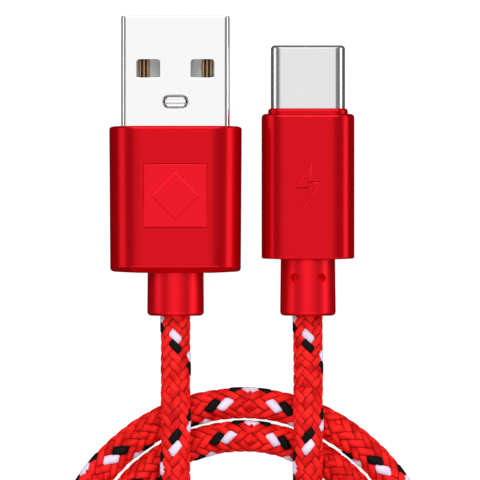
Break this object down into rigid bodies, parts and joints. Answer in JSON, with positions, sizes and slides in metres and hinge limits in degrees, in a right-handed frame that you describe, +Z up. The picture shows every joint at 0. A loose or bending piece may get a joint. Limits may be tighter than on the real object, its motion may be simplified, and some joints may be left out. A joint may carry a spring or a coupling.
{
  "type": "charging cable",
  "caption": "Short braided charging cable with a USB-A plug and a USB-C plug, lying coiled in flat turns.",
  "frame": {"origin": "on the table, under the middle of the box that holds the two plugs", "axes": "+Y the way both plugs point, +X from the USB-A plug to the USB-C plug, +Z up from the table"},
  "size_m": [0.0438, 0.0851, 0.0083],
  "materials": {
    "plated_steel": "bright nickel plating",
    "contact_gold": "thin gold plating, satin",
    "housing_red": "moulded, semi-gloss",
    "relief_red": "soft moulded plastic, semi-gloss",
    "badge_red": "moulded inlay, satin",
    "insulator_grey": "moulded, matt",
    "insulator_black": "moulded, matt",
    "crimp_metal": "rolled strip",
    "card_green": "solder mask",
    "resistor_black": "ceramic body",
    "inner_mould": "natural polyethylene",
    "wire_sleeve": "insulated wire",
    "braid": "braided polyester yarn, red with white and black tracers"
  },
  "bodies": {
    "cable": {"usb_a_shell": "plated_steel", "usb_a_insulator": "insulator_grey", "usb_a_contacts": "contact_gold", "usb_a_rear_shield": "plated_steel", "usb_a_inner_mould": "inner_mould", "usb_a_wires": "wire_sleeve", "usb_a_crimp_ring": "crimp_metal", "usb_a_cable_end": "braid", "usb_a_housing": "housing_red", "usb_a_badge": "badge_red", "usb_a_strain_relief": "relief_red", "usb_c_shell": "plated_steel", "usb_c_insulator": "insulator_black", "usb_c_contact_tails": "contact_gold", "usb_c_mid_plate": "crimp_metal", "usb_c_ground_springs": "crimp_metal", "usb_c_paddle_card": "card_green", "usb_c_resistor": "resistor_black", "usb_c_rear_shield": "plated_steel", "usb_c_inner_mould": "inner_mould", "usb_c_wires": "wire_sleeve", "usb_c_crimp_ring": "crimp_metal", "usb_c_cable_end": "braid", "usb_c_housing": "housing_red", "usb_c_collar": "housing_red", "usb_c_strain_relief": "relief_red", "cord_lead_a": "braid", "cord_coil": "braid", "cord_lead_c": "braid"},
    "upper_contact_row": {"usb_c_upper_contacts": "contact_gold"},
    "lower_contact_row": {"usb_c_lower_contacts": "contact_gold"},
    "right_latch": {"usb_c_latch_right": "crimp_metal"},
    "left_latch": {"usb_c_latch_left": "crimp_metal"}
  },
  "joints": [
    {"name": "upper_contacts_press", "type": "hinge", "parent": "cable", "child": "upper_contact_row", "pos_m": [0.00845, 0.00705, 0.00386], "axis": [1, 0, 0], "range_deg": [0, 2], "stiffness_Nm_per_rad": 0.06},
    {"name": "lower_contacts_press", "type": "hinge", "parent": "cable", "child": "lower_contact_row", "pos_m": [0.00845, 0.00705, 0.00294], "axis": [-1, 0, 0], "range_deg": [0, 2], "stiffness_Nm_per_rad": 0.06},
    {"name": "right_latch_press", "type": "hinge", "parent": "cable", "child": "right_latch", "pos_m": [0.01197, 0.00705, 0.0034], "axis": [0, 0, -1], "range_deg": [0, 2], "stiffness_Nm_per_rad": 0.06},
    {"name": "left_latch_press", "type": "hinge", "parent": "cable", "child": "left_latch", "pos_m": [0.00493, 0.00705, 0.0034], "axis": [0, 0, 1], "range_deg": [0, 2], "stiffness_Nm_per_rad": 0.06}
  ]
}
